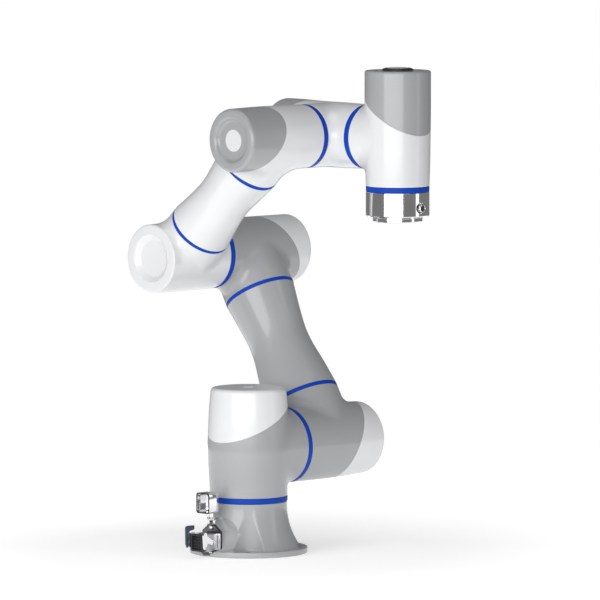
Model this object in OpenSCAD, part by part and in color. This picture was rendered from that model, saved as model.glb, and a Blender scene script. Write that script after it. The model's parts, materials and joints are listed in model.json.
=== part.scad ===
// Six-axis collaborative robot arm, standing on its base flange.
// Origin: centre of the base's mounting face, on the first joint's axis. +Z up, +X forward.
// +Y runs along the shoulder, elbow and first wrist axes.

/* [Arm layout] */
// Height of the shoulder axis above the mounting face
shoulder_h = 132.3; // [132:0.1:136]
// Distance from the shoulder axis to the elbow axis
upper_arm_l = 274; // [270:1:330]
// Distance from the elbow axis to the first wrist axis
forearm_l = 230; // [225:1:300]
// Sideways place of the upper arm's tube
upper_arm_y = 127; // [126:0.5:128]
// Sideways place of the forearm's tube
forearm_y = 12.3; // [12:0.1:13]
// Sideways place of the last two axes
wrist_y = 124; // [123.5:0.5:124.5]
// Distance from the first wrist axis to the last axis
wrist2_l = 116; // [115:0.5:117]
// Distance from the second wrist axis to the tool face
tool_l = 105; // [104.5:0.5:106]
// Upper arm's rise above the horizontal, past vertical
upper_arm_angle = 120.4; // [110:0.2:125]
// Forearm's rise above the horizontal
forearm_angle = 43.8; // [40:0.2:50]

/* [Joint rings] */
// Ring widths of joints one to six
ring_w = [7, 7, 7.5, 7.5, 8, 7];
// Ring radii of joints one to six
ring_r = [49.75, 48.4, 44.2, 40.6, 41, 40.3];
// Places of the ring middles along their joint axes
ring_at = [69.5, 64.5, 67, 72.2, 91.3, 464.4];
// Width of the trim rings between a tube and its housings
trim_w = 5; // [4:0.5:6]

/* [Base] */
// Radius of the mounting flange
flange_r = 75; // [74:0.5:76]
// Thickness of the mounting flange
flange_t = 7.3; // [6:0.1:9]
// Pitch circle diameter of the mounting bolts
bolt_pcd = 132; // [131:0.5:133]
// Radius of the mounting bolt holes
bolt_r = 4.25; // [3.5:0.25:4.5]

/* [Tool flange] */
// Pitch circle diameter of the tool bolts
tool_pcd = 50; // [50:50]
// Radius of the tapped tool holes
tool_hole_r = 2.5; // [2.5:0.25:3]
// Radius of the centring spigot
spigot_r = 31.5; // [31.5:31.5]
// Radius of the centring bore
centre_bore_r = 15.75; // [15.75:15.75]

/* [Fits] */
// Air gap between parts that turn past each other
gap = 0.3; // [0.2:0.05:0.4]
// Wall of the castings
wall = 5; // [4:0.5:6]

/* [End caps] */
// Height and tilt of the shoulder cap's seam
shoulder_seam = [37.6, 0.52];
// Height and tilt of the seam at the upper arm's low end
arm_low_seam = [41.5, 0.55];
// Height and tilt of the seam at the upper arm's elbow end
arm_high_seam = [44.5, 0.53];
// Height and tilt of the seam at the forearm's wrist end
fore_high_seam = [33.3, 0.64];
// Height and tilt of the first wrist cap's seam
wrist1_seam = [35, 0.66];
// Height and tilt of the second wrist cap's seam
wrist2_seam = [32.2, 0.66];
// Radius of the dish in the elbow's lid
lid_dish_r = 30.4; // [28:0.2:32]
// Radius of the dish in the first wrist joint's cap
wrist_dish_r = 28.6; // [26:0.2:30]

/* [Hidden] */
$fn = 96;
big = 400;
elbow = [upper_arm_l * cos(upper_arm_angle), upper_arm_y, shoulder_h + upper_arm_l * sin(upper_arm_angle)];
wrist = [elbow[0] + forearm_l * cos(forearm_angle), wrist_y, elbow[2] + forearm_l * sin(forearm_angle)];
last = [wrist[0] + wrist2_l, wrist_y, wrist[2]];
tool_z = last[2] - tool_l;
// Middles of the trim rings, measured from the shoulder and from the elbow
upper_trim = [61.2, 212.3];
fore_trim = [55.2, 178.9];
lid_seam = [48.3, 0];
grey = [0.62, 0.63, 0.64];
white = [0.92, 0.92, 0.93];
blue = [0.05, 0.2, 0.72];
steel = [0.75, 0.75, 0.77];
dark = [0.1, 0.1, 0.11];

// Ring ends along each joint axis: low side (turning gap) and high side (housing)
function ring_lo(j) = ring_at[j] - ring_w[j] / 2;
function ring_hi(j) = ring_at[j] + ring_w[j] / 2;
function bore_r(j) = ring_r[j] - 5.2;
function boss_r(j) = ring_r[j] - 8.5;
function arc(c, r, a0, a1, n) = [for (i = [0:n]) c + r * [cos(a0 + (a1 - a0) * i / n), sin(a0 + (a1 - a0) * i / n)]];

// ---- Frames: +Z runs from the ring into the housing, +X along the branch ----
module joint_frame(j) {
    if (j == 0) translate([0, 0, ring_at[0]]) children();
    if (j == 1) translate([0, ring_at[1], shoulder_h]) rotate([-90, 0, 0]) children();
    if (j == 2) translate([elbow[0], ring_at[2], elbow[2]]) rotate([-90, 0, 0]) children();
    if (j == 3) translate([wrist[0], ring_at[3], wrist[2]]) rotate([90, 0, 0]) children();
    if (j == 4) translate([ring_at[4], wrist_y, wrist[2]]) rotate([0, -90, 0]) children();
    if (j == 5) translate([last[0], last[1], ring_at[5]]) children();
}
module shoulder_frame() translate([0, 0, shoulder_h]) rotate([0, 0, 90]) children();
module arm_low_frame() translate([0, upper_arm_y, shoulder_h]) rotate([0, -upper_arm_angle, 0])
    rotate([-90, 0, 0]) children();
module arm_high_frame() translate(elbow) rotate([0, 180 - upper_arm_angle, 0]) rotate([-90, 0, 0]) children();
module fore_low_frame() translate([elbow[0], forearm_y, elbow[2]]) rotate([0, -forearm_angle, 0])
    rotate([90, 0, 0]) children();
module fore_high_frame() translate([wrist[0], forearm_y, wrist[2]]) rotate([0, 180 - forearm_angle, 0])
    rotate([90, 0, 0]) children();
module wrist1_frame() translate(wrist) rotate([0, -90, 0]) rotate([0, 0, -90]) children();
module wrist2_frame() translate(last) rotate([0, 0, 180]) children();

// ---- Casing building blocks ----
// Barrel about +Z from side outline points [radius, height], its far edge rounded by e
module barrel(side, end_z, e) {
    end_r = side[len(side) - 1][0];
    rotate_extrude() polygon(concat([[0, side[0][1]]], side,
        arc([end_r - e, end_z - e], e, 0, 90, 4), [[0, end_z]]));
}
// Branch along +X
module branch(r, l) rotate([0, 90, 0]) cylinder(r = r, h = l);
// Everything beyond an end cap's seam, which is its [height, tilt]
module beyond(seam) translate([0, 0, seam[0]]) rotate([0, -atan(seam[1]), 0])
    translate([-big / 2, -big / 2, 0]) cube(big);
// Closed annular boss that enters the next joint's ring, along +Z from 0
module boss(j) cylinder(r = boss_r(j), h = ring_w[j]);
// Hollow casing: barrel and branch, with both cavities and the ways between them
module casing(side, end_z, e, inner_r, deep, br_r, br_l, br_hole) {
    difference() {
        union() {
            barrel(side, end_z, e);
            branch(br_r, br_l);
            children();
        }
        translate([0, 0, side[0][1] - 1]) cylinder(r = inner_r, h = deep - side[0][1] + 1);
        branch(br_r - wall, br_l - 6);
        branch(br_hole, br_l + 20);
    }
}
// Round sinking in an end face, r at the face and floor_r at its floor
dish_deep = 5.5;
module cap_dish(end_z, r, floor_r) translate([0, 0, end_z - dish_deep])
    cylinder(r1 = floor_r, r2 = 2 * r - floor_r, h = 2 * dish_deep);

// ---- Drive pieces, in a joint frame; cavity radius c ----
module reducer_shape(j) translate([0, 0, ring_w[j] / 2]) difference() {
    cylinder(r = bore_r(j), h = 20);
    translate([0, 0, -1]) cylinder(r = bore_r(j) / 2 + 0.4, h = 22);
    for (a = [0:30:359]) rotate([0, 0, a]) translate([bore_r(j) * 0.8, 0, 16]) cylinder(r = 2, h = 5);
}
module stator_shape(j) translate([0, 0, ring_w[j] / 2 + 24]) difference() {
    cylinder(r = bore_r(j), h = 24);
    translate([0, 0, -1]) cylinder(r = bore_r(j) * 0.6, h = 26);
    for (a = [0:20:359]) rotate([0, 0, a]) translate([bore_r(j) * 0.68, 0, -1])
        cylinder(r = bore_r(j) * 0.05, h = 26, $fn = 24);
}
module rotor_shape(j) translate([0, 0, ring_w[j] / 2 + 2]) difference() {
    union() {
        cylinder(r = bore_r(j) / 2, h = 16);
        cylinder(r = bore_r(j) * 0.26, h = 62);
        translate([0, 0, 24]) cylinder(r = bore_r(j) * 0.6 - 0.5, h = 20);
    }
    translate([0, 0, -1]) cylinder(r = bore_r(j) * 0.18, h = 64);
}
module board_shape(j) translate([0, 0, ring_w[j] / 2 + 56]) {
    difference() {
        cylinder(r = bore_r(j), h = 1.6);
        translate([0, 0, -1]) cylinder(r = bore_r(j) * 0.3, h = 4);
    }
    for (a = [20:40:359]) rotate([0, 0, a]) translate([bore_r(j) * 0.6, -4, 1.6]) cube([7, 8, 2.5]);
    for (a = [0:120:359]) rotate([0, 0, a]) translate([bore_r(j) * 0.45, -3, 1.6]) cube([4, 6, 5]);
}
module ring_shape(j) translate([0, 0, -ring_w[j] / 2]) difference() {
    cylinder(r = ring_r[j], h = ring_w[j]);
    translate([0, 0, -1]) cylinder(r = boss_r(j) + gap, h = ring_w[j] + 2);
}

// ---- Base ----
screw_z = [4.6, 36.5];
flare_top = ring_lo(0) - gap;
function flare_r(z) = 49.2 + 18.8 * pow((flare_top - z) / (flare_top - flange_t), 2.1);
module base_body() rotate_extrude() polygon(concat([[0, 0], [flange_r - 0.8, 0], [flange_r, 0.8],
    [flange_r, flange_t - 0.8], [flange_r - 0.8, flange_t]],
    [for (i = [0:10]) let (z = flange_t + (flare_top - flange_t) * i / 10) [flare_r(z), z]], [[0, flare_top]]));
// Bolt channel: an upright round cut above each mounting hole
channel_r = 20;
channel_at = 69;
module bolt_channel() {
    translate([channel_at, 0, flange_t - 0.4]) cylinder(r = channel_r, h = flare_top);
    translate([bolt_pcd / 2, 0, -1]) cylinder(r = bolt_r, h = flange_t + 2);
}
// Cut in the flange that clears the connector plate's pointed foot
plate_notch = [[-18.2, 17], [-18.2, 10.6], [-4.8, 1], [-4.8, -1], [4.8, -1], [4.8, 1], [18.2, 10.6], [18.2, 17]];
module base_casting() color(grey) difference() {
    union() {
        difference() {
            base_body();
            translate([0, -62, 0]) rotate([90, 0, 0]) linear_extrude(28) polygon(plate_notch);
        }
        translate([0, 0, flare_top - 1]) cylinder(r = boss_r(0), h = ring_w[0] + 1);
        translate([-14, -64, 0]) cube([28, 30, 38]);
    }
    for (a = [45:90:359]) rotate([0, 0, a]) bolt_channel();
    translate([0, 0, -1]) cylinder(r = 40, h = 56);
    translate([0, 0, 50]) cylinder(r = 12, h = 60);
    translate([-8, -70, 12]) cube([16, 40, 14]);
    for (z = screw_z) translate([0, -59, z]) rotate([90, 0, 0]) cylinder(r = 1.7, h = 10);
}

// ---- Connector on the base's side ----
conn_z = 19;
hinge = [-66.8, 47.5];
module connector_plate() {
    color(steel) difference() {
        translate([0, -64, 0]) rotate([90, 0, 0]) linear_extrude(2.5)
            polygon([[-17.5, 11], [-4, 1.5], [4, 1.5], [17.5, 11], [17.5, 32], [4, 42], [1.8, 45],
                [-1.8, 45], [-4, 42], [-17.5, 32]]);
        translate([-8, -70, 12]) cube([16, 10, 14]);
        for (z = screw_z) translate([0, -60, z]) rotate([90, 0, 0]) cylinder(r = 1.7, h = 10);
    }
    color(steel) for (x = [-6, 3.1]) translate([x, hinge[0], hinge[1]]) rotate([0, 90, 0])
        cylinder(r = 1.9, h = 2.9);
    color(steel) for (s = [-1, 1]) translate([s * 4.55 - 1.45, -66.5, 41]) cube([2.9, 2.5, 6.5]);
    color(steel) translate([-6, hinge[0], hinge[1]]) rotate([0, 90, 0]) cylinder(r = 0.9, h = 12);
}
module connector_screws() color(dark) for (z = screw_z) translate([0, -60.2, z]) rotate([90, 0, 0]) {
    cylinder(r = 1.65, h = 6.3);
    translate([0, 0, 6.3]) difference() {
        cylinder(r = 2.8, h = 1.8);
        translate([0, 0, 0.8]) cylinder(r = 1.4, h = 3, $fn = 6);
    }
}
module connector_housing() color(steel) difference() {
    union() {
        translate([-11.5, -86, conn_z - 11.5]) cube([23, 19.5, 23]);
        for (x = [-14.5, 11.5]) translate([x, -77, conn_z]) rotate([0, 90, 0]) cylinder(r = 2, h = 3);
    }
    translate([-9, -90, conn_z - 9]) cube([18, 30, 18]);
}
module connector_insert() color(dark) difference() {
    union() {
        translate([-9, -88, conn_z - 9]) cube([18, 21.5, 18]);
        translate([-11, -92, conn_z - 11]) cube([22, 5.9, 22]);
    }
    for (x = [-6:4:6], z = [-6:4:6]) translate([x, -90, conn_z + z]) rotate([90, 0, 0]) cylinder(r = 1, h = 4);
}
module lever_plate(side, pts) translate([side > 0 ? 12 : -14.4, 0, 0]) rotate([90, 0, 90])
    linear_extrude(2.4) polygon(pts);
module lever_eye(side) translate([side > 0 ? 12 : -14.4, -77, conn_z]) rotate([0, 90, 0])
    cylinder(r = 4.2, h = 2.4);
module lever_bore(side) translate([side * 13.2 - 4, -77, conn_z]) rotate([0, 90, 0]) cylinder(r = 2.06, h = 8);
module lever_near() color(steel) difference() {
    union() {
        lever_plate(1, [[-94, 30], [-92, 33], [-88, 33], [-86.5, 28], [-80, 24], [-77, 23.2], [-77, 14.8],
            [-86, 19], [-88.5, 13], [-90.5, 10.5], [-92.5, 12]]);
        lever_eye(1);
    }
    lever_bore(1);
}
module lever_far() color([0.16, 0.18, 0.24]) difference() {
    union() {
        lever_plate(-1, [[-99, 38], [-97, 40], [-84, 40], [-84, 34.5], [-93, 33], [-93, 27], [-80, 25], [-77, 23.2],
            [-77, 14.8], [-93, 21], [-94, 14], [-96, 11.5], [-98.5, 16]]);
        lever_eye(-1);
    }
    lever_bore(-1);
}
cover_z = [55.5, 81.8];
module connector_cover() color(steel) {
    difference() {
        translate([-11.6, -81.6, cover_z[0]]) cube([23.2, 16.8, cover_z[1] - cover_z[0]]);
        translate([-9.9, -83, cover_z[0] + 1.7]) cube([19.8, 16.5, cover_z[1] - cover_z[0] - 3.4]);
    }
    difference() {
        union() {
            translate([-2.8, hinge[0], hinge[1]]) rotate([0, 90, 0]) cylinder(r = 1.9, h = 5.6);
            translate([-2.8, -66.6, hinge[1]]) cube([5.6, 1.7, cover_z[0] - hinge[1] + 0.5]);
        }
        translate([-4, hinge[0], hinge[1]]) rotate([0, 90, 0]) cylinder(r = 0.96, h = 8);
    }
}

// ---- Shoulder ----
module shoulder_casing() casing([[49.75, ring_hi(0) - shoulder_h], [50, -45], [51, -30], [52, 0], [51.3, 24],
    [50.4, 47], [49.2, 62], [48.2, 72]], 78.2, 5, bore_r(0), 71, ring_r[1], ring_lo(1) - gap, 12)
    translate([ring_lo(1) - gap, 0, 0]) rotate([0, 90, 0]) boss(1);
module shoulder_housing() color(grey) shoulder_frame() difference() {
    shoulder_casing();
    beyond(shoulder_seam);
}
module shoulder_cap() color(white) shoulder_frame() intersection() {
    shoulder_casing();
    beyond(shoulder_seam);
}

// ---- Upper arm ----
module arm_low_casing() casing([[48.4, ring_hi(1) - upper_arm_y], [48.6, -30], [48.6, 10], [47.6, 45], [46.4, 68]],
    75, 5, bore_r(1), 69, 48.6, upper_trim[0] - trim_w / 2, 30);
module upper_arm_lower_housing() color(grey) arm_low_frame() difference() {
    arm_low_casing();
    beyond(arm_low_seam);
}
module upper_arm_lower_cap() color(white) arm_low_frame() intersection() {
    arm_low_casing();
    beyond(arm_low_seam);
}
module along_upper() translate([0, upper_arm_y, shoulder_h]) rotate([0, 90 - upper_arm_angle, 0]) children();
module tube(pts, inner_r) rotate_extrude() polygon(concat([[inner_r, pts[0][1]]], pts,
    [[inner_r, pts[len(pts) - 1][1]]]));
module upper_arm_tube() color(grey) along_upper() tube([[48.6, upper_trim[0] + trim_w / 2], [47.2, 75], [45, 92],
    [42.5, 108], [40.2, 122], [38.8, 136], [38.6, 148], [39.6, 162], [41.4, 178], [43.3, 193],
    [45.6, upper_trim[1] - trim_w / 2]], 34);
module trim_ring(r, at, inner_r) translate([0, 0, at - trim_w / 2]) difference() {
    cylinder(r = r, h = trim_w);
    translate([0, 0, -1]) cylinder(r = inner_r, h = trim_w + 2);
}
module upper_arm_rings() color(blue) along_upper() {
    trim_ring(48.6, upper_trim[0], 34);
    trim_ring(46, upper_trim[1], 34);
}
module arm_high_casing() casing([[44.2, ring_hi(2) - upper_arm_y], [44.4, -30], [44.4, 30], [44.2, 76]],
    83, 5, bore_r(2), 77, 46, upper_arm_l - upper_trim[1] - trim_w / 2, 30);
module upper_arm_elbow_housing() color(grey) arm_high_frame() difference() {
    arm_high_casing();
    beyond(arm_high_seam);
}
module upper_arm_elbow_cap() color(white) arm_high_frame() intersection() {
    arm_high_casing();
    beyond(arm_high_seam);
}

// ---- Forearm ----
module fore_low_casing() difference() {
    casing([[44.2, forearm_y - ring_lo(2) + gap], [44.2, 30], [43.6, 46]], 50.8, 2.4, bore_r(2) - 0.5, 40,
        41.3, fore_trim[0] - trim_w / 2, 28);
    cap_dish(50.8, lid_dish_r, 24);
}
// The round lid and the plug behind its dish
module lid_zone() {
    beyond(lid_seam);
    translate([0, 0, 39]) cylinder(r = 36, h = 10);
}
module forearm_elbow_housing() color(white) fore_low_frame() difference() {
    union() {
        fore_low_casing();
        elbow_end();
    }
    lid_zone();
}
module elbow_end() translate([0, 0, forearm_y - ring_lo(2) + gap]) difference() {
    union() {
        cylinder(r = 44, h = 6);
        rotate([180, 0, 0]) boss(2);
    }
    translate([0, 0, -20]) cylinder(r = 12, h = 40);
}
module forearm_elbow_cap() color(white) fore_low_frame() intersection() {
    fore_low_casing();
    lid_zone();
}
module along_fore() translate([elbow[0], forearm_y, elbow[2]]) rotate([0, 90 - forearm_angle, 0]) children();
module forearm_tube() color(white) along_fore() tube([[41.2, fore_trim[0] + trim_w / 2], [39.6, 68], [37.6, 82],
    [35.8, 98], [34.8, 112], [35.2, 124], [36.8, 138], [38.8, 154], [40.4, 168],
    [41.1, fore_trim[1] - trim_w / 2]], 30);
module forearm_rings() color(blue) along_fore() for (s = fore_trim) trim_ring(41.2, s, 30);
module fore_high_casing() difference() {
    casing([[40.6, forearm_y - ring_lo(3)], [41, -30], [41, 30], [40.4, 62]], 70.9, 5, bore_r(3), 60,
        41.2, forearm_l - fore_trim[1] - trim_w / 2, 28);
    cap_dish(70.9, wrist_dish_r, 25.2);
}
module forearm_wrist_housing() color(white) fore_high_frame() difference() {
    fore_high_casing();
    beyond(fore_high_seam);
}
module forearm_wrist_cap() color(grey) fore_high_frame() intersection() {
    fore_high_casing();
    beyond(fore_high_seam);
}

// ---- Wrist one ----
module wrist1_casing() casing([[41, wrist[0] - ring_at[4] + ring_w[4] / 2], [41.6, -30], [42, 20], [43, 60], [43, 81]],
    86, 5, bore_r(4), 80, ring_r[3], wrist_y - ring_hi(3) - gap, 12)
    translate([wrist_y - ring_hi(3) - gap, 0, 0]) rotate([0, 90, 0]) boss(3);
module wrist1_housing() color(white) wrist1_frame() difference() {
    wrist1_casing();
    beyond(wrist1_seam);
}
module wrist1_cap() color(grey) wrist1_frame() intersection() {
    wrist1_casing();
    beyond(wrist1_seam);
}

// ---- Wrist two ----
top_z = 86.2;
module wrist2_casing() casing([[40.3, ring_hi(5) - last[2]], [41.2, -30], [41.6, 0], [42, 34], [42, 82]],
    top_z, 2.4, bore_r(5), 80, ring_r[4], last[0] - ring_hi(4) - gap, 12)
    translate([last[0] - ring_hi(4) - gap, 0, 0]) rotate([0, 90, 0]) boss(4);
module wrist2_housing() color(white) wrist2_frame() difference() {
    wrist2_casing();
    beyond(wrist2_seam);
}
module wrist2_cap() color(grey) wrist2_frame() intersection() {
    wrist2_casing();
    beyond(wrist2_seam);
}
module wrist_bezel() color(dark) translate(last + [0, 0, top_z]) difference() {
    rotate_extrude() polygon([[0, 0], [19.7, 0], [19.7, 1.6], [18.9, 2.4], [15.6, 3.4], [0, 3.4]]);
    translate([0, 0, -1]) cylinder(r = 13.8, h = 6);
}
module wrist_button() color(white) translate(last + [0, 0, top_z + 1.7])
    rotate_extrude() polygon([[0, 0], [13.5, 0], [13.5, 1.4], [12.6, 2], [9, 2.4], [0, 2.6]]);

// ---- Tool flange ----
module tool_flange() color(steel) translate([last[0], last[1], 0]) difference() {
    union() {
        translate([0, 0, tool_z + 6.9]) cylinder(r = ring_r[5], h = ring_lo(5) - gap - tool_z - 6.9);
        translate([0, 0, tool_z]) cylinder(r = spigot_r, h = 7);
        translate([0, 0, ring_lo(5) - gap]) boss(5);
    }
    translate([0, 0, tool_z - 1]) cylinder(r = centre_bore_r, h = 7.2);
    for (a = [45:90:359]) rotate([0, 0, a]) translate([tool_pcd / 2, 0, tool_z - 1]) cylinder(r = tool_hole_r, h = 11);
    translate([tool_pcd / 2, 0, tool_z - 1]) cylinder(r = 3, h = 7);
    translate([33, 0, tool_z + 18.5]) rotate([0, 90, 0]) cylinder(r = 7, h = 20);
}
// Kept short, so that it passes the elbow's housing as the first wrist joint turns
module tool_connector() color(steel) translate([last[0] + 33, last[1], tool_z + 18.5]) rotate([0, 90, 0]) difference() {
    union() {
        cylinder(r = 5.6, h = 4.6);
        translate([0, 0, 4.6]) cylinder(r = 4.4, h = 1.6);
        translate([0, 0, 6.2]) cylinder(r = 4.9, h = 5.6);
    }
    translate([0, 0, 5]) cylinder(r = 3.6, h = 9);
}

base_casting();
connector_plate();
connector_screws();
connector_housing();
connector_insert();
lever_near();
lever_far();
connector_cover();
shoulder_housing();
shoulder_cap();
upper_arm_lower_housing();
upper_arm_lower_cap();
upper_arm_tube();
upper_arm_rings();
upper_arm_elbow_housing();
upper_arm_elbow_cap();
forearm_elbow_housing();
forearm_elbow_cap();
forearm_tube();
forearm_rings();
forearm_wrist_housing();
forearm_wrist_cap();
wrist1_housing();
wrist1_cap();
wrist2_housing();
wrist2_cap();
wrist_bezel();
wrist_button();
tool_flange();
tool_connector();
for (j = [0:5]) {
    name = str("j", j + 1);
    color(blue) joint_frame(j) ring_shape(j);
    color(steel) joint_frame(j) reducer_shape(j);
    color([0.7, 0.42, 0.2]) joint_frame(j) stator_shape(j);
    color(steel) joint_frame(j) rotor_shape(j);
    color([0.1, 0.4, 0.2]) joint_frame(j) board_shape(j);
}
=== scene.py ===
"""Looks of a six-axis collaborative robot arm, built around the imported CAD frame."""
import json
import math

import bmesh
import bpy
import numpy as np
import openvdb
from mathutils import Matrix, Vector


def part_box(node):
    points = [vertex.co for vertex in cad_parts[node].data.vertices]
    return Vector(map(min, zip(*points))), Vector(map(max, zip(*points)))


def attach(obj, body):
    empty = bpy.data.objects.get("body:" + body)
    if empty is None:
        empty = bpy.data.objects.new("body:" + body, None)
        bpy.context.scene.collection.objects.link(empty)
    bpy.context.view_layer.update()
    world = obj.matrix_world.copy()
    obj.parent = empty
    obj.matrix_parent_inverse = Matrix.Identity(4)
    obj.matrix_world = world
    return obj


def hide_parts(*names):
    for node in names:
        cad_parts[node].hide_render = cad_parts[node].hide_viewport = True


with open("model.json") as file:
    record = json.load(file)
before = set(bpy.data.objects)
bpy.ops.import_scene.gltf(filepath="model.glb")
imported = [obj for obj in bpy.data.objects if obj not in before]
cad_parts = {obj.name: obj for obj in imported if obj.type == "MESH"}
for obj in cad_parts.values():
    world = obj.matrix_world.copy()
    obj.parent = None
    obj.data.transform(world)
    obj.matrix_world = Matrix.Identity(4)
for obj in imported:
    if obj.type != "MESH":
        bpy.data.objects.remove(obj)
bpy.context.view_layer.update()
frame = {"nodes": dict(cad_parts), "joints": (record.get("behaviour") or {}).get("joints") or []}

# ---------------------------------------------------------------- places from the frame, in millimetres
MM = 0.001
JOINTS = {j["name"]: j for j in frame["joints"]}


def joint_place(name):
    return np.array(JOINTS[name]["pos_m"]) / MM


def box_mm(node):
    low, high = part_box(node)
    return np.array(low) / MM, np.array(high) / MM


def ring_span(number, axis):
    low, high = box_mm(f"j{number}_ring")
    return low[axis], high[axis]


SHOULDER = joint_place("j2_shoulder")
ELBOW = joint_place("j3_elbow")
WRIST = joint_place("j4_wrist")
LAST = joint_place("j6_tool")
# Each joint's blue seal ring: its two faces along the joint's axis, its radius and its depth
RINGS = [ring_span(number, axis) for number, axis in ((1, 2), (2, 1), (3, 1), (4, 1), (5, 0), (6, 2))]
RING_R = [49.75, 48.4, 44.2, 40.6, 41.0, 40.3]
RING_DEPTH = 8
GAP = 0.3  # between a ring and the casing that turns against it
TRIM_W = 5.0  # the blue trim rings at the ends of the tubes
UPPER_Y = sum(b[1] for b in box_mm("upper_arm_tube")) / 2
FORE_Y = sum(b[1] for b in box_mm("forearm_tube")) / 2
UPPER_DIR = (ELBOW - SHOULDER) * [1, 0, 1]
UPPER_L = float(np.linalg.norm(UPPER_DIR))
UPPER_DIR /= UPPER_L
FORE_DIR = (WRIST - ELBOW) * [1, 0, 1]
FORE_L = float(np.linalg.norm(FORE_DIR))
FORE_DIR /= FORE_L
# Middles of the trim rings along each link
UPPER_TRIM = (61.2, 212.3)
FORE_TRIM = (55.2, 178.9)
X, Y, Z = np.eye(3)


def local_frame(origin, x_dir, z_dir):
    """Matrix from a piece's own millimetres to the shared frame in metres.

    A casing's +Z runs to its end cap and its +X along its branch.
    """
    y_dir = np.cross(z_dir, x_dir)
    m = np.eye(4)
    m[:3, 0], m[:3, 1], m[:3, 2], m[:3, 3] = x_dir, y_dir, z_dir, origin
    m[:3] *= MM
    return Matrix(m.tolist())


# ---------------------------------------------------------------- camera
CAMERA_AZIMUTH = 45
CAMERA_ELEVATION = 4.9
CAMERA_DISTANCE = 9.51665
CAMERA_AIM = (0.06547, 0.32161)  # metres to the right of the base's axis, and up
LENS = 450
SENSOR = 36


def add_camera():
    azimuth, elevation = math.radians(CAMERA_AZIMUTH), math.radians(CAMERA_ELEVATION)
    right = Vector((math.cos(azimuth), math.sin(azimuth), 0))
    back = Vector((math.cos(elevation) * math.sin(azimuth), -math.cos(elevation) * math.cos(azimuth),
                   math.sin(elevation)))
    aim = Vector((0, 0, CAMERA_AIM[1])) + right * CAMERA_AIM[0]
    data = bpy.data.cameras.new("camera")
    data.lens = LENS
    data.sensor_width = SENSOR
    data.clip_end = 100
    camera = bpy.data.objects.new("camera", data)
    bpy.context.scene.collection.objects.link(camera)
    turn = Matrix((right, back.cross(right), back)).transposed().to_4x4()
    camera.matrix_world = Matrix.Translation(aim + back * CAMERA_DISTANCE) @ turn
    bpy.context.scene.camera = camera


add_camera()


# ---------------------------------------------------------------- node materials
class Nodes:
    """Short calls for building one material's node tree."""

    def __init__(self, name):
        self.material = bpy.data.materials.new(name)
        self.material.use_nodes = True
        self.tree = self.material.node_tree
        self.shader = self.tree.nodes["Principled BSDF"]
        self.position = self.add("ShaderNodeTexCoord").outputs["Object"]

    def add(self, kind, **inputs):
        node = self.tree.nodes.new(kind)
        for key, value in inputs.items():
            self.put(node, key.replace("_", " "), value)
        return node

    def put(self, node, key, value):
        socket = node.inputs[key]
        if isinstance(value, bpy.types.NodeSocket):
            self.tree.links.new(value, socket)
        else:
            socket.default_value = value

    def noise(self, scale, detail=3.0, rough=0.5, stretch=None):
        place = self.position
        if stretch:
            mapping = self.add("ShaderNodeMapping", Scale=stretch)
            self.tree.links.new(place, mapping.inputs["Vector"])
            place = mapping.outputs["Vector"]
        made = self.add("ShaderNodeTexNoise", Vector=place, Scale=scale, Detail=detail, Roughness=rough)
        return made.outputs[0]

    def span(self, value, low, high):
        node = self.add("ShaderNodeMapRange", Value=value)
        node.inputs["To Min"].default_value = low
        node.inputs["To Max"].default_value = high
        return node.outputs[0]

    def mix(self, factor, a, b):
        node = self.tree.nodes.new("ShaderNodeMix")
        node.data_type = "RGBA"
        self.put(node, 0, factor)
        node.inputs[6].default_value = (*a, 1)
        node.inputs[7].default_value = (*b, 1)
        return node.outputs[2]

    def bump(self, height, strength, distance):
        node = self.add("ShaderNodeBump", Height=height, Strength=strength, Distance=distance)
        self.tree.links.new(node.outputs[0], self.shader.inputs["Normal"])

    def set(self, **values):
        for key, value in values.items():
            self.put(self.shader, key.replace("_", " "), value)


def shade(colour, amount):
    return tuple(min(1.0, c * amount) for c in colour)


def paint(name, colour, roughness):
    """Sprayed satin paint: fine orange peel, slight tone and gloss drift."""
    n = Nodes(name)
    drift = n.noise(14, 4)
    n.set(Base_Color=n.mix(drift, shade(colour, 0.96), shade(colour, 1.04)),
          Roughness=n.span(n.noise(60, 5), roughness - 0.04, roughness + 0.05),
          Coat_Weight=0.7, Coat_Roughness=0.1)
    n.bump(n.noise(1400, 2), 0.05, 0.0004)
    return n.material


def plastic(name, colour, roughness, specular=0.5):
    """Moulded plastic with a fine spark-eroded grain."""
    grain = 2200
    n = Nodes(name)
    n.set(Base_Color=n.mix(n.noise(40, 4), shade(colour, 0.9), shade(colour, 1.1)),
          Roughness=n.span(n.noise(grain / 8, 4), roughness - 0.05, roughness + 0.08),
          Specular_IOR_Level=specular)
    n.bump(n.noise(grain, 3), 0.12, 0.0003)
    return n.material


def metal(name, colour, roughness, brush=(1, 1, 1), depth=0.06):
    """Machined or plated metal with fine marks stretched along the working direction."""
    n = Nodes(name)
    marks = n.noise(300, 6, 0.6, brush)
    n.set(Base_Color=n.mix(n.noise(30, 4), shade(colour, 0.95), shade(colour, 1.03)), Metallic=1.0,
          Roughness=n.span(marks, roughness * 0.75, roughness * 1.3))
    n.bump(marks, depth, 0.0002)
    return n.material


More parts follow.
